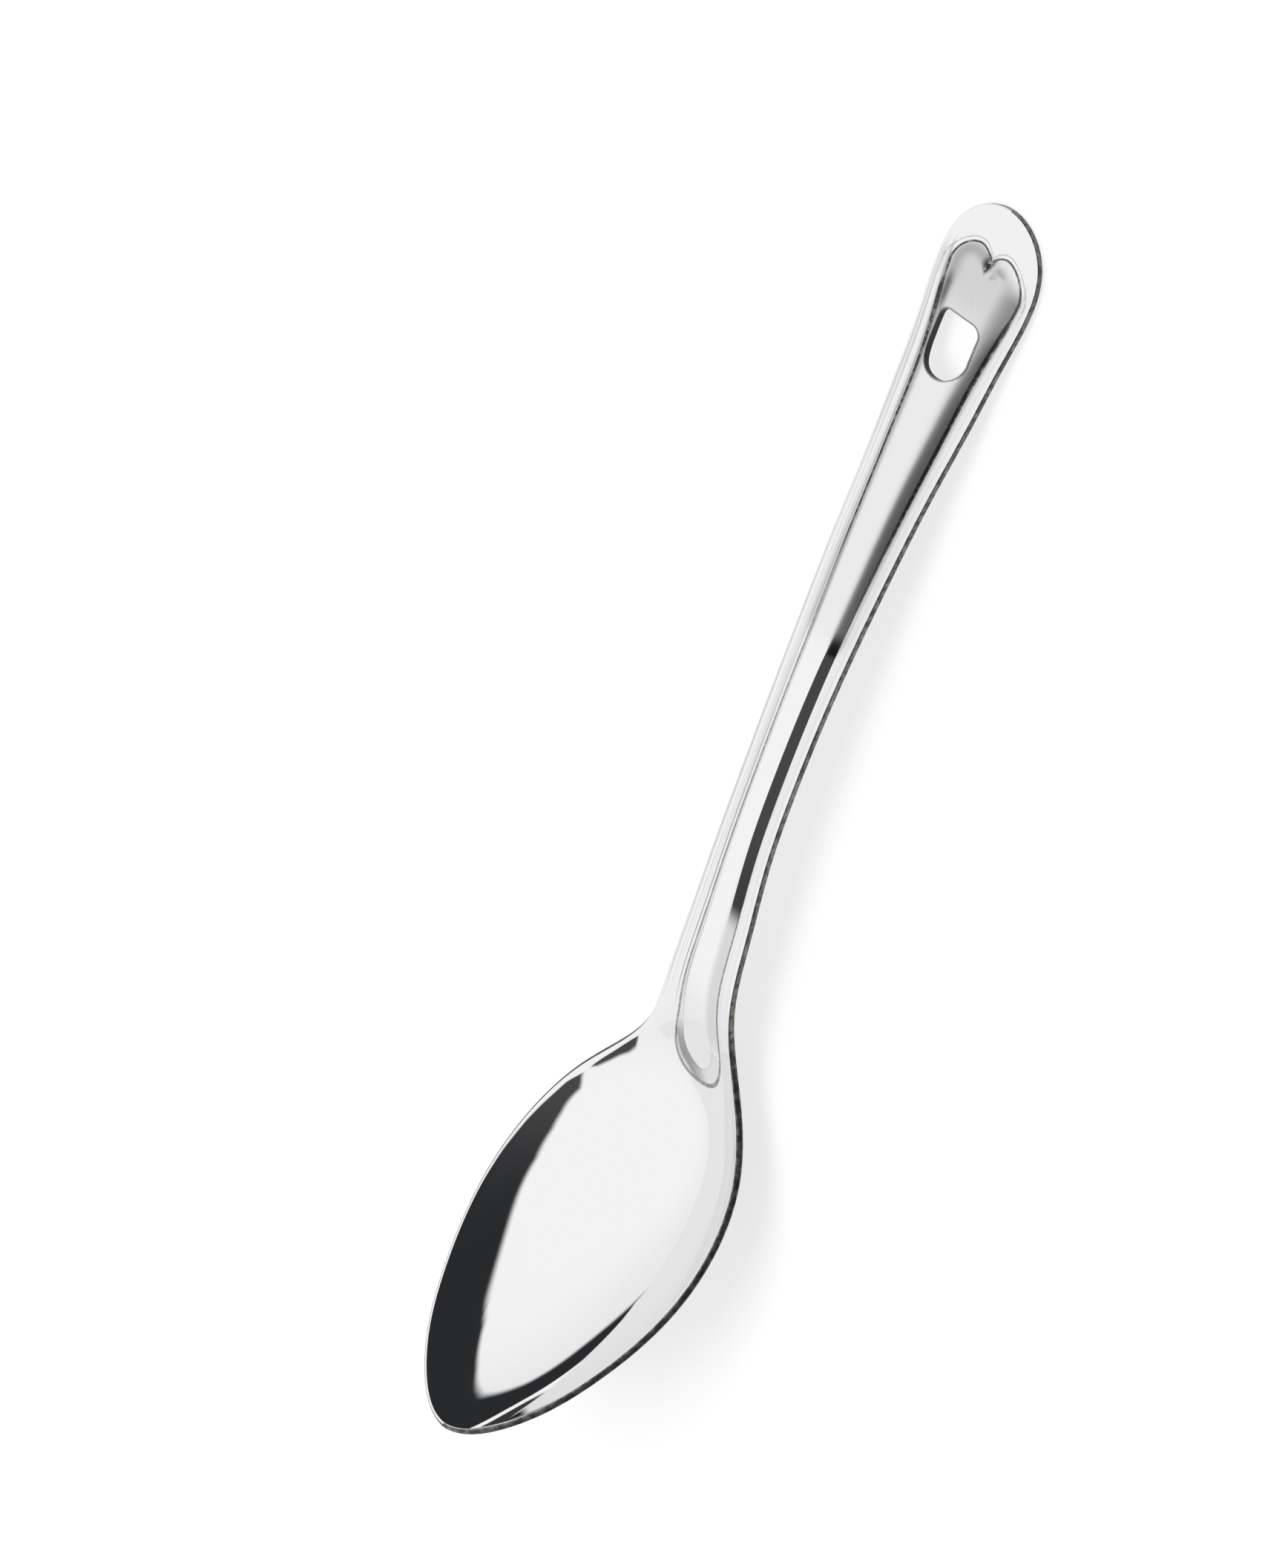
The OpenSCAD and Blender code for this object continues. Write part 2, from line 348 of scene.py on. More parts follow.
# Steps along the edge, bent so that the rows follow the rib's foot at its nose and its lobes
def bentSteps(size, grid, wall):
    form = ribForm
    steps = grid["steps"]
    roundness = 1.0 - grid["r"] ** form["ribPower"]
    noseBend = size["Nose length"] * (1.0 - roundness ** (1.0 / form["nosePower"])) + wall
    lobeBend = size["Notch depth"] * twoLobes(grid["r"])
    lobeBend = lobeBend - size["Lobe length"] * (1.0 - roundness.only("SQRT")) - wall
    foot, notch, hold = form["noseFoot"], form["notch"], form["hold"]
    noseZone = bump(steps, foot - form["noseReach"], foot - hold, foot + hold, foot + form["noseReach"])
    lobeZone = bump(steps, notch - form["lobeReach"], notch - hold, notch, notch + form["lobeReach"])
    bend = noseBend / size["Nose step"] * noseZone + lobeBend / size["Lobe step"] * lobeZone
    final = float(len(edgeShares) - 1)
    return (steps + (1.0 - grid["flank"]) * bend).least(final).most(0.0)


# Height of the rib over the sheet, and the place across it: 0 on the crown's middle, 1 at its foot
def ribAt(net, size, r, steps, share, beyond, wall):
    form = ribForm
    foot, notch = form["noseFoot"], form["notch"]
    past = steps > (foot + notch) * 0.5  # nearer to the lobes than to the nose
    inset = past * (1.0 / size["Lobe step"] + 1.0 / size["Nose step"]) - 1.0 / size["Nose step"]
    steps = steps + wall * inset
    nose = ((foot - steps) * size["Nose step"] / size["Nose length"] + 1.0).most(0.0)
    reach = twoLobes(r) * size["Notch depth"] / size["Lobe length"]
    lobe = ((steps - notch) * size["Lobe step"] / size["Lobe length"] - reach + 1.0).most(0.0)
    spread = (r ** form["ribPower"] + nose ** form["nosePower"] + lobe * lobe) ** (1.0 / form["ribPower"])

    fall = smoothStep(share, *form["ribFall"])
    tall = size["Rib height"] * mix(form["lowRib"], 1.0, smoothStep(share, *form["ribRise"]))
    tall = tall * mix(1.0, form["endRib"], fall)
    rounder = smoothStep(share, *form["ribRound"])
    shoulder = mix(*form["shoulder"], rounder)
    soft = mix(mix(*form["shoulderSoft"], rounder), form["lobeSoft"], fall) * tall
    inward = (1.0 - spread - beyond) * tall / (1.0 - shoulder)
    crown = tall * (1.0 - form["crownDrop"] * (spread / shoulder).least(form["dropEnd"]) ** 2.0)
    rib = net.make("ShaderNodeMath", inward, 0.0, form["creaseSoft"], operation="SMOOTH_MAX")
    rib = net.make("ShaderNodeMath", rib, crown, soft, operation="SMOOTH_MIN").most(0.0)
    return rib, spread + beyond


# A point of the sheet without its rib, then the rib's height there and the place across the rib
def sheetPoint(net, size, grid, wall):
    form = ribForm
    r, flank = grid["r"], grid["flank"]
    steps = bentSteps(size, grid, wall)
    place, heading, depth = edgeAt(net, grid["controls"], steps)
    x, half, height = net.parts(place)
    hx, hy, _ = net.parts(heading)
    pace = (hx * hx + hy * hy).only("SQRT")
    x = x + size["Edge radius"] * hy / pace
    half = (half - size["Edge radius"] * hx / pace).most(0.0)
    share = x / size["Length"]
    neck, slot, lobes = form["creaseShares"]
    part = mix(neck, slot, smoothStep(share, *form["widen"]))
    part = mix(part, lobes, smoothStep(share, *form["spread"]))
    crease = half * part - (half * form["tipWall"]).least(wall)
    y = crease * r + (half - crease) * flank
    fade = bump(share, *form["flangeStart"], *form["fade"])
    hollow = depth.most(0.0) * (1.0 - (y / half.most(sheetMesh["leastHalf"])) ** form["bowlPower"])
    z = height - hollow - size["Crease depth"] * fade * (1.0 - flank)
    beyond = (half - crease) * flank / crease.most(sheetMesh["leastCrease"])
    rib, ribPlace = ribAt(net, size, r, steps, share, beyond, wall)
    return net.vector(x, grid["side"] * y, z), rib, ribPlace


def storeNumber(net, geometry, value, name, domain="POINT"):
    return net.make(
        "GeometryNodeStoreNamedAttribute", geometry, None, name, value, data_type="FLOAT", domain=domain
    )


# What the marks on the steel are placed by; away from the upper face both places lie at the edge
def storePlaces(net, geometry, rawEdge, across=2.0, ribPlace=2.0):
    geometry = storeNumber(net, geometry, rawEdge, "rawEdge", "FACE")
    geometry = storeNumber(net, geometry, across, "across")
    return storeNumber(net, geometry, ribPlace, "ribPlace")


# Index, row and column of each point or face of a grid
def gridPlace(net, cols):
    index = net.make("GeometryNodeInputIndex")
    row = (index / float(cols)).only("FLOOR")
    return index, row, index - row * float(cols)


# The rounded edge of the sheet along one side, from the upper face round to the lower one
def edgeStrip(net, size, grid, upper, ups, side):
    rows, cols = grid["rows"], float(grid["cols"])
    arc = sheetMesh["arcCells"]
    stripCols = 2 * arc + 2
    strip = net.make("GeometryNodeMeshGrid", 1.0, 1.0, rows, stripCols)
    _, row, col = gridPlace(net, stripCols)

    # The left strip follows the sheet's last column and the right one its first, round the tips too
    position = net.make("GeometryNodeInputPosition")
    up = net.make("GeometryNodeInputNamedAttribute", "up", data_type="FLOAT_VECTOR")
    here, there = (cols - 1.0, 0.0) if side > 0 else (0.0, cols - 1.0)
    first, final = row < 0.5, row > rows - 1.5
    onFace = row * cols + here
    after = (row + 1.0 - 2.0 * final) * cols + here + final * (there - here)
    before = (row - 1.0 + 2.0 * first) * cols + here + first * (there - here)
    spot, ahead, behind = [sampled(net, upper, position, i) for i in (onFace, after, before)]
    normal = sampled(net, ups, up, onFace)
    run = (ahead - behind) * float(side)
    outward = net.make("ShaderNodeVectorMath", normal, run, operation="CROSS_PRODUCT")
    outward = net.make("ShaderNodeVectorMath", outward, operation="NORMALIZE")

    # A quarter turn at the upper face, then a quarter turn at the lower one
    under = col > arc + 0.5
    angle = (col - under * (arc + 1.0)) * (math.pi / 2 / arc)
    radius = size["Edge radius"]
    out = radius * (angle.only("SINE") * (1.0 - under) + angle.only("COSINE") * under)
    down = radius * (1.0 - angle.only("COSINE")) * (1.0 - under)
    down = down + (size["Thickness"] - radius + radius * angle.only("SINE")) * under
    placed = net.make("GeometryNodeSetPosition", strip, None, spot + outward * out - normal * down)

    # The cut is raw between the two turns; on the right side its dark colour also covers most of the turns,
    # as painted shade
    _, _, cell = gridPlace(net, stripCols - 1)
    rawFrom = 0.5 if side < 0 else arc - 0.5
    raw = (cell > rawFrom) * (cell < 2.0 * arc - 0.5)
    placed = storePlaces(net, placed, rawMarks["edge"] * raw)
    return placed if side > 0 else net.make("GeometryNodeFlipFaces", placed)


# Cutter for the hanging slot: round end towards the bowl, straight end with two rounded corners
def slotCutter(net, size):
    width, length, corner = size["Slot width"], size["Slot length"], size["Slot corner"]
    block = net.make("GeometryNodeMeshCylinder", sheetMesh["cutterSides"], 1, 1, 1.0, 2.0)
    dx, dy, dz = net.parts(net.make("GeometryNodeInputPosition"))
    back = dx < 0.0
    sign = dy.only("SIGN")
    radius = corner + (width * 0.5 - corner) * back
    x = (length * 0.5 - corner) + (width * 0.5 - length + corner) * back
    y = sign * (width * 0.5 - corner) * (1.0 - back)
    middle = ribForm["slotShare"] * size["Length"]
    spot = net.vector(middle + x + dx * radius, y + dy * radius, dz * spoon["rimDip"])
    placed = net.make("GeometryNodeSetPosition", block, None, spot)
    return storeNumber(net, placed, rawMarks["slot"], "rawEdge", "FACE")


# Every point's step along the edge, its side, and how far it lies from the middle line:
# r goes from 0 to 1 over the rib, and flank from 0 to 1 over the flange
def sheetGrid(net, controls):
    runs = sheetMesh["rowRuns"]
    ribCells, flangeCells = float(sheetMesh["ribCells"]), float(sheetMesh["flangeCells"])
    halfCells = sheetMesh["ribCells"] + sheetMesh["flangeCells"]
    cols = 2 * halfCells + 1
    index, row, col = gridPlace(net, cols)
    parts, start, done = [], 0.0, 0.0
    for count, end in runs:
        parts.append(((row - start) / float(count)).limited() * (end - done))
        start, done = start + count, end
    fromMiddle = col - float(halfCells)
    cell = fromMiddle.only("ABSOLUTE")
    return {
        "controls": controls,
        "rows": sum(count for count, _ in runs) + 1,
        "cols": cols,
        "halfCells": halfCells,
        "index": index,
        "row": row,
        "steps": total(parts),
        "side": fromMiddle.only("SIGN"),
        "r": ((cell / ribCells).least(1.0) * (math.pi / 2)).only("SINE"),
        "flank": ((cell - ribCells) / flangeCells).most(0.0),
    }


def upperFace(net, size, grid, sheet):
    point, rib, ribPlace = sheetPoint(net, size, grid, wall=0.0 * size["Thickness"])
    upper = net.make("GeometryNodeSetPosition", sheet, None, point + net.vector(0.0, 0.0, rib))
    return storePlaces(net, upper, rawMarks["polished"], grid["r"] + grid["flank"], ribPlace)


# One thickness below the upper face, along the direction that the sheet without its rib faces
def lowerFace(net, size, grid, sheet):
    rows, cols, halfCells, row = grid["rows"], grid["cols"], grid["halfCells"], grid["row"]
    point, rib, _ = sheetPoint(net, size, grid, ribForm["wallShare"] * size["Thickness"])
    middle = net.make("GeometryNodeSetPosition", sheet, None, point)
    normal = net.make("GeometryNodeInputNormal")
    first, final = row < 0.5, row > rows - 1.5
    tips = first * float(cols + halfCells) + final * float((rows - 2) * cols + halfCells)
    source = grid["index"] * (1.0 - first - final) + tips
    up = sampled(net, middle, normal, source)
    ups = net.make(
        "GeometryNodeStoreNamedAttribute", middle, None, "up", up, data_type="FLOAT_VECTOR", domain="POINT"
    )
    upField = net.make("GeometryNodeInputNamedAttribute", "up", data_type="FLOAT_VECTOR")
    drop = net.vector(0.0, 0.0, rib) - upField * size["Thickness"]
    lower = net.make("GeometryNodeSetPosition", ups, None, None, drop)
    lower = storePlaces(net, lower, rawMarks["polished"])
    return net.make("GeometryNodeFlipFaces", lower), ups


# Laid down, then brought to the middle of the length and onto the floor
def layDown(net, size, geometry):
    x, y, z = net.parts(net.make("GeometryNodeInputPosition"))
    geometry = storeNumber(net, geometry, x / size["Length"], "lengthShare")
    cosine, sine = size["Rest turn"].only("COSINE"), size["Rest turn"].only("SINE")
    turned = net.vector(x * cosine + z * sine, y, z * cosine - x * sine)
    laid = net.make("GeometryNodeSetPosition", geometry, None, turned)
    box = net.make("GeometryNodeBoundBox", laid, out="Min")
    lowX, _, lowZ = net.parts(box)
    highX, _, _ = net.parts(Wire(net, box.socket.node.outputs["Max"]))
    shift = net.vector((lowX + highX) * -0.5, 0.0, 0.0 - lowZ)
    return net.make("GeometryNodeSetPosition", laid, None, None, shift)


def smoothed(net, geometry):
    smooth = net.make("GeometryNodeSetShadeSmooth", geometry, None, True, domain="FACE")
    sharp = net.make("GeometryNodeInputMeshEdgeAngle") > sheetMesh["sharpAngle"]
    return net.make("GeometryNodeSetShadeSmooth", smooth, sharp, False, domain="EDGE")


def spoonTree():
    tree = bpy.data.node_groups.new("pressed spoon", "GeometryNodeTree")
    panel = tree.interface
    panel.new_socket("Geometry", in_out="INPUT", socket_type="NodeSocketGeometry")
    panel.new_socket("Geometry", in_out="OUTPUT", socket_type="NodeSocketGeometry")
    names = {
        "Length": "length",
        "Thickness": "thickness",
        "Edge radius": "edgeRadius",
        "Rib height": "ribHeight",
        "Crease depth": "creaseDepth",
        "Nose length": "noseLength",
        "Lobe length": "lobeLength",
        "Notch depth": "notchDepth",
        "Slot width": "slotWidth",
        "Slot length": "slotLength",
        "Slot corner": "slotCorner",
        "Rest turn": "restTurn",
        "Nose step": "noseStep",  # length of one step there
        "Lobe step": "lobeStep",
    }
    values = dict(spoon)
    alongs = [0.0] + [s[0] * spoon["length"] for s in edgeShares]
    for name, place in (("noseStep", int(ribForm["noseFoot"])), ("lobeStep", int(ribForm["notch"]))):
        values[name] = curveValue(alongs, place + 2.0) - curveValue(alongs, place + 1.0)
    sockets = {
        name: panel.new_socket(name, in_out="INPUT", socket_type="NodeSocketFloat") for name in names
    }
    net = Net(tree)
    entry = tree.nodes.new("NodeGroupInput")
    size = {name: Wire(net, entry.outputs[name]) for name in names}
    grid = sheetGrid(net, Wire(net, entry.outputs["Geometry"]))

    sheet = net.make("GeometryNodeMeshGrid", 1.0, 1.0, grid["rows"], grid["cols"])
    upper = upperFace(net, size, grid, sheet)
    lower, ups = lowerFace(net, size, grid, sheet)
    strips = [edgeStrip(net, size, grid, upper, ups, side) for side in (1, -1)]
    joined = tree.nodes.new("GeometryNodeJoinGeometry")
    for piece in (upper, lower, *strips):
        tree.links.new(piece.socket, joined.inputs[0])
    whole = net.make("GeometryNodeMergeByDistance", Wire(net, joined.outputs[0]), None, sheetMesh["weld"])
    cutter = slotCutter(net, size)
    cut = net.make("GeometryNodeMeshBoolean", whole, cutter, operation="DIFFERENCE", solver="EXACT")
    smooth = smoothed(net, layDown(net, size, cut))
    real = net.make("GeometryNodeRealizeInstances", smooth)
    dressed = net.make("GeometryNodeSetMaterial", real, None, bpy.data.materials["polished steel"])
    ending = tree.nodes.new("NodeGroupOutput")
    tree.links.new(dressed.socket, ending.inputs[0])
    return tree, {sockets[name].identifier: values[key] for name, key in names.items()}


steel = {
    "colour": (0.86, 0.86, 0.865, 1.0),
    # the grey that painted shade and the polishing grain draw the steel's colour towards
    "shadeAndGrainColour": (0.2, 0.2, 0.205, 1.0),
    # black of the painted shade in the creases, round the lobes, in the notch and on the slot's wall
    "paintedShadeBlack": (0.03, 0.03, 0.03, 1.0),
    # the raw cut's mottled colours, rougher steel made darker than bare steel as painted shade
    "edgeColours": ((0.08, 0.08, 0.075, 1.0), (0.24, 0.24, 0.225, 1.0)),
    "roughness": (0.03, 0.36),  # bowl, and the far half of the handle
    "satinStart": (0.637, 0.663),  # shares of the length
    "edgeRoughness": 0.42,
    # the first is the painted shade in the creases, round the lobes and in the notch
    "paintedShadeStrength": 0.95,  # how strongly each mark shows, from 0 to 1
    "streaks": 0.3,
    "facetShade": 0.8,
    "wallShade": 0.3,
    "lobeShade": 0.28,
    "waveHeight": 0.000022,
    "waveNoise": (38.0, 1.0),  # scale and detail of each noise
    "speckNoise": (900.0, 3.0),
    "mottleNoise": (700.0, 3.0),
    "cloudNoise": (160.0, 3.0),
    "grainNoise": (1.0, 1.5),
}

# Stretches of the spoon. Two numbers are where one starts and is full, or fades and is gone,
# and four are all of these in turn
stretches = {
    "leftSide": (0.0, 0.001),  # metres to the left
    "handle": (0.24, 0.25),  # the next are shares of the length
    "noseEnd": (0.312, 0.335),
    "nearEnd": (0.44, 0.5),
    "lobes": (0.918, 0.932),
    "flange": (0.33, 0.37, 0.94, 0.965),
    "flangeFoot": (1.02, 1.1),  # from 1 at the crease to 2 at the edge
}

# Marks on the steel, in the same way. "along" is in shares of the length, "rib" goes from 0 on the
# crown's middle to 1 at the rib's foot, "flange" from 1 at the crease to 2 at the edge, "aside" is in
# metres to the left, and three numbers are a line's place, half width and soft side
marks = {
    # crease, outline, notch, wedge and streak are painted shade, broken up by specks
    "crease": {
        "width": 0.02,
        "farWidth": 0.024,
        "leftWidth": 0.022,
        "soft": 0.03,
        "widens": (0.66, 0.72),
        "strength": 0.4,
        "leftStrength": 0.25,
        "farStrength": 0.55,
        "nearStrength": 0.35,
        "darkens": (0.68, 0.78),
        "patchy": (0.7, 1.0),
    },
    "specks": (0.3, 0.55),
    "outline": {"rib": (1.16, 0.004, 0.03), "along": (0.925, 0.94, 0.975, 0.985), "patchy": (0.25, 0.45)},
    "notch": {"aside": (0.0004, 0.0022), "rib": (0.5, 0.7, 1.0, 1.15)},
    "wedge": {"along": (0.64, 0.645, 0.65, 0.664), "rib": (0.6, 0.75, 0.99, 1.0), "strength": 0.9},
    "streak": {"along": (0.903, 0.92, 0.928, 0.94), "rib": (0.55, 0.75, 0.8, 0.95), "strength": 0.7},
    # painted shade round the slot's rim
    "slotShadeLine": {"gap": (0.0001, 0.0001, 0.0003), "strength": 0.7},
    # painted shade on the nose's facet, and a painted dark line at its brim
    "facet": {
        "brim": (0.72, 0.52),  # place of its brim across the rib, from right to left
        "brimTurn": (-0.001, 0.004),
        "rib": (-0.01, 0.02, 0.3, 0.45),  # counted from the brim
        "foot": (0.97, 1.0),
        "strength": (0.1, 1.0),
        "aside": (-0.004, 0.003),
    },
    "brim": {"width": (0.008, 0.016), "strength": (0.2, 0.9), "aside": (-0.003, 0.002)},
    # painted shade on the rib's right wall and foot, on its crown at the lobes and beside its left crease;
    # the stain is real
    "wall": (0.45, 0.75, 0.97, 1.0),
    "foot": {
        "rib": (0.45, 1.0, 1.0, 1.01),
        "end": (0.94, 0.96),
        "strength": (0.4, 0.9),
        "darkens": (0.87, 0.91),
    },
    "crown": {"rib": (0.6, 1.0), "along": (0.88, 0.94, 0.96, 0.98), "strength": 0.06},
    "stain": {"rib": (0.6, 0.8), "cloud": (0.5, 0.64), "strength": 0.35},
    "beside": {"rib": (0.45, 0.85, 0.9, 1.0), "strength": 0.45},
    "grain": {"stretch": (6.0, 2.5), "noise": (0.45, 0.68), "sides": (0.35, 1.2)},
    # thin darker lines at fixed places across the flanges
    "flangeLines": {
        "first": (1.24, 0.012, 0.02),
        "second": (1.66, 0.01, 0.03),
        "secondShare": 0.5,
        "sides": (0.3, 0.5),
    },
    # painted shade on the flanges beside the creases
    "leftMargin": {"flange": (1.0, 1.05, 1.2, 1.5), "strength": 0.3},
    "rightMargin": {"flange": (1.0, 1.03, 1.15, 1.4), "strength": 0.2},
    "mottle": (0.35, 0.7),
}


# 1 where a value lies within a width of a place, with soft sides
def lineAt(value, place, width, soft):
    return 1.0 - smoothStep((value - place).only("ABSOLUTE"), width, width + soft)


def noise(net, place, kind):
    scale, detail = steel[kind]
    return net.make("ShaderNodeTexNoise", place, named={"Scale": scale, "Detail": detail})


# A mark with soft ends along the spoon and across the rib
def patch(at, mark):
    return bump(at.share, *mark["along"]) * bump(at.ribPlace, *mark["rib"]) * mark["strength"]


# The places stored on the mesh, and the stretches and sides that the marks keep to
def steelPlaces(net):
    across, ribPlace, share, rawEdge = [
        net.make("ShaderNodeAttribute", attribute_name=name, out="Fac")
        for name in ("across", "ribPlace", "lengthShare", "rawEdge")
    ]
    point = net.make("ShaderNodeTexCoord", out="Object")
    _, y, _ = net.parts(point)
    left = smoothStep(y, *stretches["leftSide"])
    return SimpleNamespace(
        across=across,
        ribPlace=ribPlace,
        share=share,
        rawEdge=rawEdge,
        point=point,
        y=y,
        left=left,
        right=1.0 - left,
        handle=smoothStep(share, *stretches["handle"]),
        nose=1.0 - smoothStep(share, *stretches["noseEnd"]),
        near=1.0 - smoothStep(share, *stretches["nearEnd"]),
        satin=smoothStep(share, *steel["satinStart"]),
        lobes=smoothStep(share, *stretches["lobes"]),
        flange=smoothStep(across, *stretches["flangeFoot"]) * bump(share, *stretches["flange"]),
    )


# Painted shade: dark lines where the rib's walls meet the flanges and round the lobes, and in the notch,
# with painted dark patches on the rib's right wall at its foot and on its left side near the lobes
def paintedShadeMask(net, at):
    patchy = smoothStep(noise(net, at.point, "speckNoise"), *marks["specks"])
    mark = marks["crease"]
    wider = mark["farWidth"] * smoothStep(at.share, *mark["widens"])
    wider = wider + mark["leftWidth"] * at.left * (1.0 - at.nose)
    width = mark["width"] + wider * (1.0 - at.lobes)
    amount = mark["strength"] + mark["leftStrength"] * at.left
    amount = amount + mark["farStrength"] * smoothStep(at.share, *mark["darkens"])
    amount = amount + mark["nearStrength"] * at.near * at.right
    crease = lineAt(at.ribPlace, 1.0, width, mark["soft"]) * at.handle
    crease = crease * amount.limited() * mix(*mark["patchy"], patchy)

    mark = marks["outline"]
    outline = lineAt(at.ribPlace, *mark["rib"]) * bump(at.share, *mark["along"])
    outline = outline * mix(*mark["patchy"], patchy)
    mark = marks["notch"]
    notch = at.lobes * bump(at.ribPlace, *mark["rib"]) * patchy
    notch = notch * (1.0 - smoothStep(at.y.only("ABSOLUTE"), *mark["aside"]))
    wedge = at.right * patch(at, marks["wedge"])
    streak = at.left * patch(at, marks["streak"])
    shadeLines = crease.most(outline).most(notch).most(wedge).most(streak)
    return (shadeLines * steel["paintedShadeStrength"]).limited()


# Painted shade: a thin dark line round the slot's rim
def slotShadeLine(at):
    along = (at.share - ribForm["slotShare"]) * spoon["length"]
    corner = mix(spoon["slotCorner"], spoon["slotWidth"] / 2, along < 0.0)  # the round end faces the bowl
    pastEnd = (along.only("ABSOLUTE") - spoon["slotLength"] / 2 + corner).most(0.0)
    pastSide = (at.y.only("ABSOLUTE") - spoon["slotWidth"] / 2 + corner).most(0.0)
    gap = (pastEnd * pastEnd + pastSide * pastSide).only("SQRT") - corner
    return lineAt(gap, *marks["slotShadeLine"]["gap"]) * marks["slotShadeLine"]["strength"]


# Painted shade: a grey facet at the nose, and a dark line painted at the brim where it meets the crown
def facetShade(at):
    mark = marks["facet"]
    brimPlace = mix(*mark["brim"], smoothStep(at.y, *mark["brimTurn"]))
    facet = at.nose * at.handle * bump(at.ribPlace - brimPlace, *mark["rib"])
    facet = facet * (1.0 - smoothStep(at.ribPlace, *mark["foot"]))
    facet = facet * mix(*mark["strength"], smoothStep(at.y, *mark["aside"])) * steel["facetShade"]
    mark = marks["brim"]
    brim = at.nose * at.handle * lineAt(at.ribPlace, brimPlace, *mark["width"])
    return facet + brim * mix(*mark["strength"], smoothStep(at.y, *mark["aside"]))


# Painted shade on the rib's right wall and foot, beside its left crease, and on its crown at the lobes,
# with real stains near the right lobe
def ribShade(net, at):
    wall = at.right * at.near * (1.0 - at.nose) * bump(at.ribPlace, *marks["wall"]) * steel["wallShade"]
    mark = marks["foot"]
    foot = at.right * at.satin * bump(at.ribPlace, *mark["rib"])
    foot = foot * (1.0 - smoothStep(at.share, *mark["end"]))
    foot = foot * mix(*mark["strength"], smoothStep(at.share, *mark["darkens"]))
    mark = marks["crown"]
    crown = 1.0 - smoothStep(at.ribPlace, *mark["rib"])
    crownShade = bump(at.share, *mark["along"]) * crown * steel["lobeShade"]
    crownShade = crownShade + at.satin * crown * mark["strength"]
    mark = marks["stain"]
    stain = at.lobes * at.right * (1.0 - smoothStep(at.ribPlace, *mark["rib"]))
    stain = stain * smoothStep(noise(net, at.point, "cloudNoise"), *mark["cloud"]) * mark["strength"]
    mark = marks["beside"]
    beside = at.satin * at.left * bump(at.ribPlace, *mark["rib"]) * mark["strength"]
    return wall + foot + crownShade + stain + beside


# Fine lines left by polishing along the flanges, thin darker lines at fixed places across them, and painted
# shade on their margins beside the creases
def flangeShade(net, at):
    mark = marks["grain"]
    acrossStretch, alongStretch = mark["stretch"]
    spot = net.vector(at.across * acrossStretch, at.share * alongStretch, at.left)
    grain = smoothStep(noise(net, spot, "grainNoise"), *mark["noise"]) * steel["streaks"]
    grain = grain * mix(*mark["sides"], at.left)
    mark = marks["flangeLines"]
    flangeLine = lineAt(at.across, *mark["first"]) + mark["secondShare"] * lineAt(at.across, *mark["second"])
    flangeLine = flangeLine * mix(*mark["sides"], at.left)
    left, right = marks["leftMargin"], marks["rightMargin"]
    marginShade = at.left * bump(at.across, *left["flange"]) * left["strength"]
    marginShade = marginShade + at.right * bump(at.across, *right["flange"]) * right["strength"]
    return (grain + flangeLine + at.satin * marginShade) * at.flange


def steelMaterial():
    material = bpy.data.materials.new("polished steel")
    material.use_nodes = True
    net = Net(material.node_tree)
    at = steelPlaces(net)
    # Painted shade on the facet, the slot's rim, the rib and the flange margins, with the polishing grain,
    # darkens the steel's colour
    shade = (facetShade(at) + slotShadeLine(at) + ribShade(net, at) + flangeShade(net, at)).limited()
    colour = mixColour(net, shade, steel["colour"], steel["shadeAndGrainColour"])
    # Painted shade along the creases, round the lobes and in the notch
    colour = mixColour(net, paintedShadeMask(net, at), colour, steel["paintedShadeBlack"])
    mottle = smoothStep(noise(net, at.point, "mottleNoise"), *marks["mottle"])
    cutColour = mixColour(net, mottle, *steel["edgeColours"])
    # The slot's wall takes the black of the painted shade
    cutColour = mixColour(net, at.rawEdge - rawMarks["edge"], cutColour, steel["paintedShadeBlack"])
    rawEdge = at.rawEdge.limited()
    colour = mixColour(net, rawEdge, colour, cutColour)
    rough = mix(mix(*steel["roughness"], at.satin), steel["edgeRoughness"], rawEdge)
    height = (noise(net, at.point, "waveNoise") - 0.5) * steel["waveHeight"]
    normal = net.make("ShaderNodeBump", named={"Strength": 1.0, "Distance": 1.0, "Height": height})
    shader = material.node_tree.nodes["Principled BSDF"]
    shader.inputs["Metallic"].default_value = 1.0
    for name, wire in (("Base Color", colour), ("Roughness", rough), ("Normal", normal)):
        net.tree.links.new(wire.socket, shader.inputs[name])


# The finer mesh is brought inside the box of the coarser one it stands for
def fitInBox(mesh):
    low, high = cadBox
    points = [v.co for v in mesh.vertices]
    fit = []
    for axis in range(3):
        reach = max(abs(p[axis]) for p in points)
        room = min(abs(low[axis]), abs(high[axis])) if axis < 2 else high[axis]
        fit.append(min(1.0, room / reach * sheetMesh["fitInside"]))
    mesh.transform(Matrix.Diagonal((*fit, 1.0)))


def makeSpoon():
    piece = makeControls()
    tree, values = spoonTree()
    modifier = piece.modifiers.new("pressed spoon", "NODES")
    modifier.node_group = tree
    for identifier, value in values.items():
        modifier[identifier] = value
    bpy.context.view_layer.update()
    graph = bpy.context.evaluated_depsgraph_get()
    made = piece.evaluated_get(graph)
    mesh = bpy.data.meshes.new_from_object(made, preserve_all_data_layers=True, depsgraph=graph)
    piece.modifiers.clear()
    piece.data = mesh
    fitInBox(mesh)
    return piece


camera = {
    "lens": 1000.0,
    "place": (3.8808909, -5.30948733, 7.12120666),
    "turn": (-8.01943375, 42.31490314, -65.75293008),  # degrees
    "clipEnd": 40.0,
}


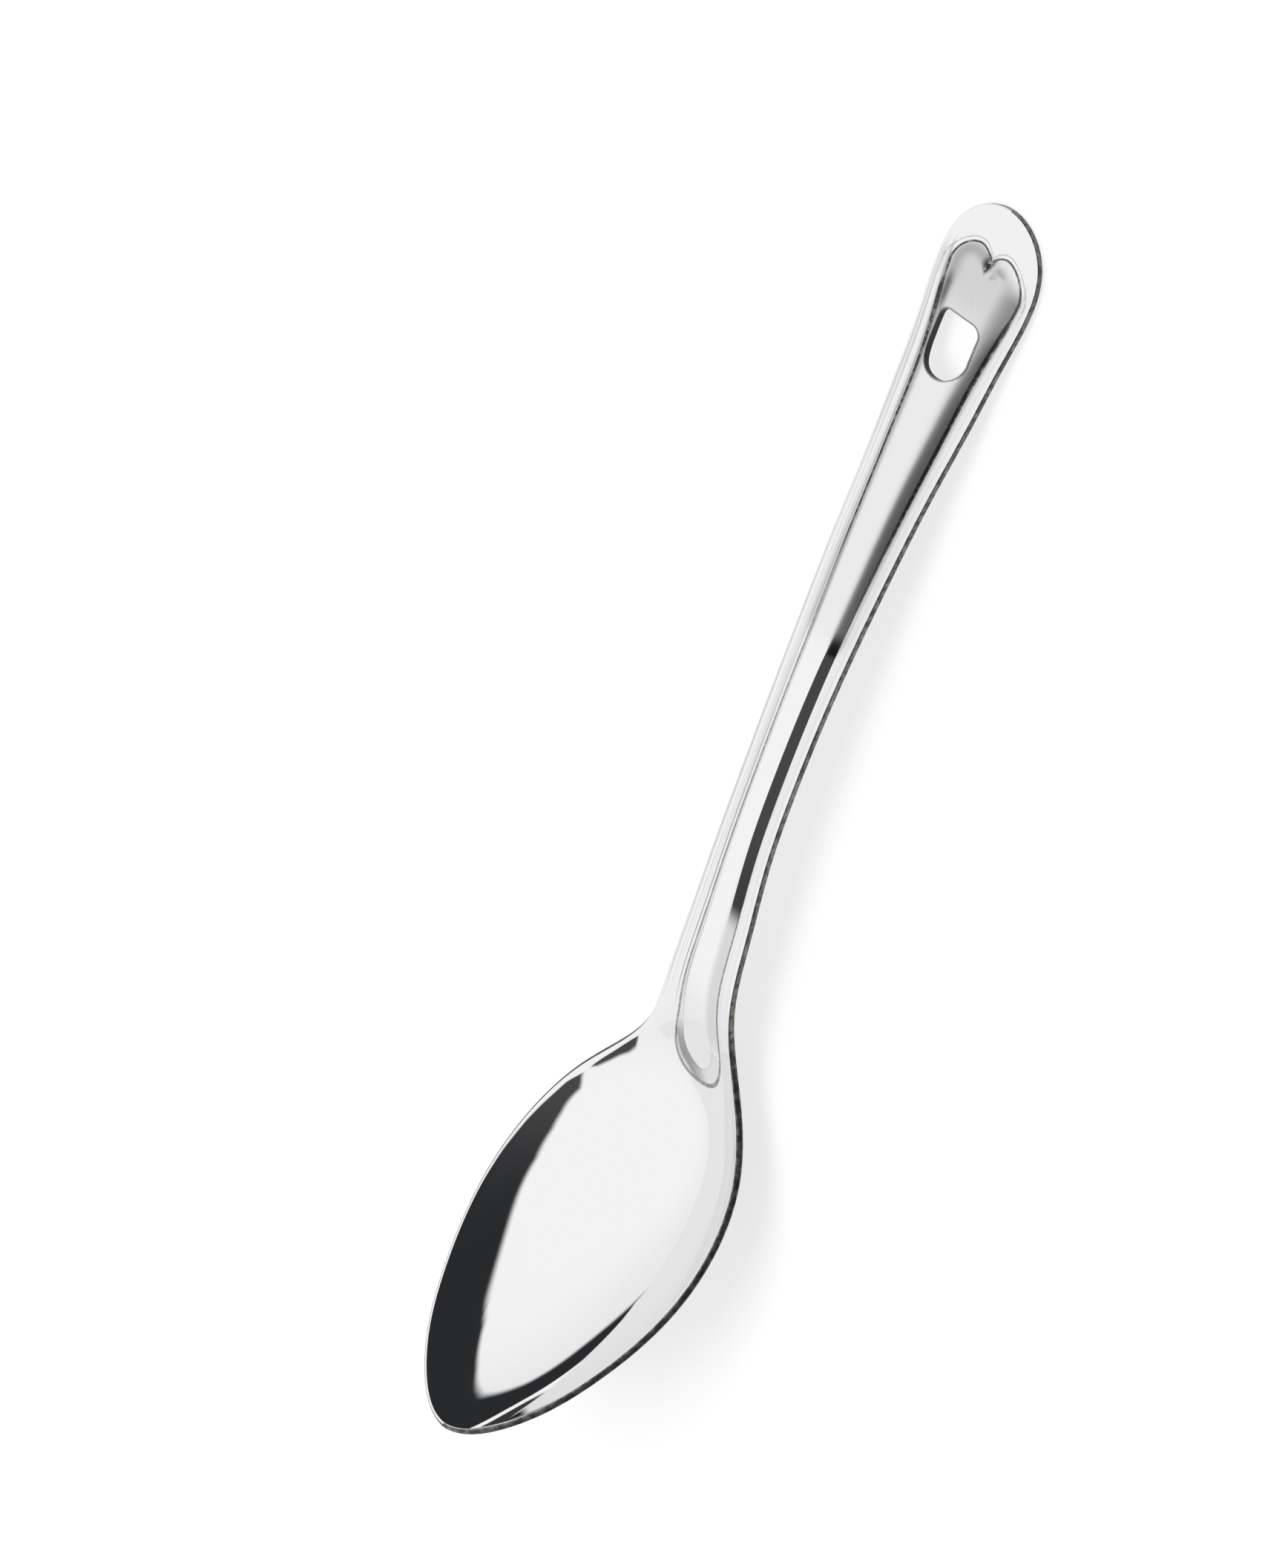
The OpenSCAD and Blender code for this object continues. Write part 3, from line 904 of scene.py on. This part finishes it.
def addCamera():
    data = bpy.data.cameras.new("camera")
    data.lens = camera["lens"]
    data.clip_end = camera["clipEnd"]
    seen = bpy.data.objects.new("camera", data)
    seen.location = camera["place"]
    seen.rotation_euler = [math.radians(a) for a in camera["turn"]]
    bpy.context.scene.collection.objects.link(seen)
    bpy.context.scene.camera = seen


# Bearings are in degrees from the handle's end, and heights in degrees above the floor
stage = {
    "floorReach": 3.0,
    "floorColour": (0.23, 0.23, 0.23, 1.0),
    "floorShown": 0.7,
    "cardColour": (0.03, 0.03, 0.03, 1.0),
    "cardSides": (0.05, 0.08, 0.6, 0.7),  # metres along Y and X
    "cardEnds": (-0.3, -0.25, 0.12, 0.2),
    "cardSlant": 1.9,
    "cardSlantEdge": (0.44, 0.5),
    "lampStrength": 2.0,
    "lampSpread": 35.0,  # degrees
    "domeHigh": (1.04, 1.04, 1.04, 1.0),
    "domeLow": (0.93, 0.935, 0.94, 1.0),
    "domeTurn": (5.0, 45.0),
    "wallColour": (0.025, 0.026, 0.028, 1.0),
    "wallFar": (0.07, 0.07, 0.072, 1.0),
    "wallFarTurn": (-30, -120),
    "wallSoft": (4.0, 1.2),  # softness of the wall's upper edge, and the bearings between which it is sharp
    "wallSharp": (-176, -166, 110, 140),
    "wallTop": [
        (-180, -8), (-175, 12), (-168, 25), (-165, 29), (-160, 30.5), (-154, 31), (-148, 32.5),
        (-140, 34), (-137, 33.5), (-133, 33), (-130, 35.5), (-125.5, 38.2), (-122, 40.5), (-117, 43),
        (-105, 44.5), (-95, 46), (-82, 47), (-62, 46), (-42, 42), (-20, 38), (0, 35),
        (20, 27), (40, 17), (60, 10), (80, 6), (110, -4), (120, -8), (180, -8),
    ],
}


def addFloor():
    reach = stage["floorReach"]
    mesh = bpy.data.meshes.new("floor")
    corners = [(-reach, -reach, 0), (reach, -reach, 0), (reach, reach, 0), (-reach, reach, 0)]
    mesh.from_pydata(corners, [], [(0, 1, 2, 3)])
    floor = bpy.data.objects.new("floor", mesh)
    bpy.context.scene.collection.objects.link(floor)
    mesh.materials.append(floorMaterial())


# Pale where it is seen, with a dark card behind the spoon that only the steel sees
def floorMaterial():
    material = bpy.data.materials.new("pale floor")
    material.use_nodes = True
    net = Net(material.node_tree)
    material.node_tree.nodes.clear()
    path = net.make("ShaderNodeLightPath", out="Is Camera Ray").socket.node
    direct, glossy, through = [
        Wire(net, path.outputs[name]) for name in ("Is Camera Ray", "Is Glossy Ray", "Is Transmission Ray")
    ]
    x, y, _ = net.parts(net.make("ShaderNodeTexCoord", out="Object"))
    card = bump(y, *stage["cardSides"]) * bump(x, *stage["cardEnds"]) * glossy
    card = card * (1.0 - smoothStep(y - x * stage["cardSlant"], *stage["cardSlantEdge"]))
    colour = mixColour(net, card, stage["floorColour"], stage["cardColour"])
    matte = net.make("ShaderNodeBsdfDiffuse", colour)
    shown = (direct + glossy + through).limited() * (1.0 - card) * stage["floorShown"]
    glow = net.make("ShaderNodeEmission", (1.0, 1.0, 1.0, 1.0), shown)
    both = net.make("ShaderNodeAddShader", matte, glow)
    net.make("ShaderNodeOutputMaterial", both)
    return material


# Soft light from straight above, which leaves the floor's shadow
def addLamp():
    data = bpy.data.lights.new("overhead lamp", "SUN")
    data.energy = stage["lampStrength"]
    data.angle = math.radians(stage["lampSpread"])
    lamp = bpy.data.objects.new("overhead lamp", data)
    lamp.visible_glossy = False
    bpy.context.scene.collection.objects.link(lamp)


def bearingShare(degrees):
    return (degrees + 180) / 360


def heightShare(degrees):
    return (degrees + 90) / 180


# A pale dome over a dark wall that stands round the camera's side
def addDome():
    world = bpy.data.worlds.new("studio")
    bpy.context.scene.world = world
    world.use_nodes = True
    world.node_tree.nodes.clear()
    net = Net(world.node_tree)
    x, y, z = net.parts(net.make("ShaderNodeTexCoord", out="Generated"))
    bearing = net.make("ShaderNodeMath", y, x, operation="ARCTAN2") / (2 * math.pi) + 0.5
    height = z.only("ARCSINE") * (180 / math.pi)
    stops = [(bearingShare(b), [heightShare(h)] * 3 + [1.0]) for b, h in stage["wallTop"]]
    top = net.make("ShaderNodeValToRGB", bearing, stops=stops)
    top = net.make("ShaderNodeRGBToBW", top) * 180.0 - 90.0
    soft = mix(*stage["wallSoft"], bump(bearing, *[bearingShare(b) for b in stage["wallSharp"]]))
    above = smoothStep((height - top) / soft, -1.0, 1.0)
    dome = mixColour(net, smoothStep(height, *stage["domeTurn"]), stage["domeLow"], stage["domeHigh"])
    side = smoothStep(bearing, *[bearingShare(b) for b in stage["wallFarTurn"]])
    wall = mixColour(net, side, stage["wallColour"], stage["wallFar"])
    background = net.make("ShaderNodeBackground", mixColour(net, above, wall, dome), 1.0)
    net.make("ShaderNodeOutputWorld", background)


steelMaterial()
print("material made")
body = makeSpoon()
triangles = sum(len(p.vertices) - 2 for p in body.data.polygons)
print("spoon made:", len(body.data.vertices), "points and", triangles, "triangles")
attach(body, "root")
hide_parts("spoon")
addFloor()
addLamp()
addDome()
addCamera()
bpy.context.scene.view_settings.view_transform = "Standard"
print("floor, lamp, dome and camera placed")
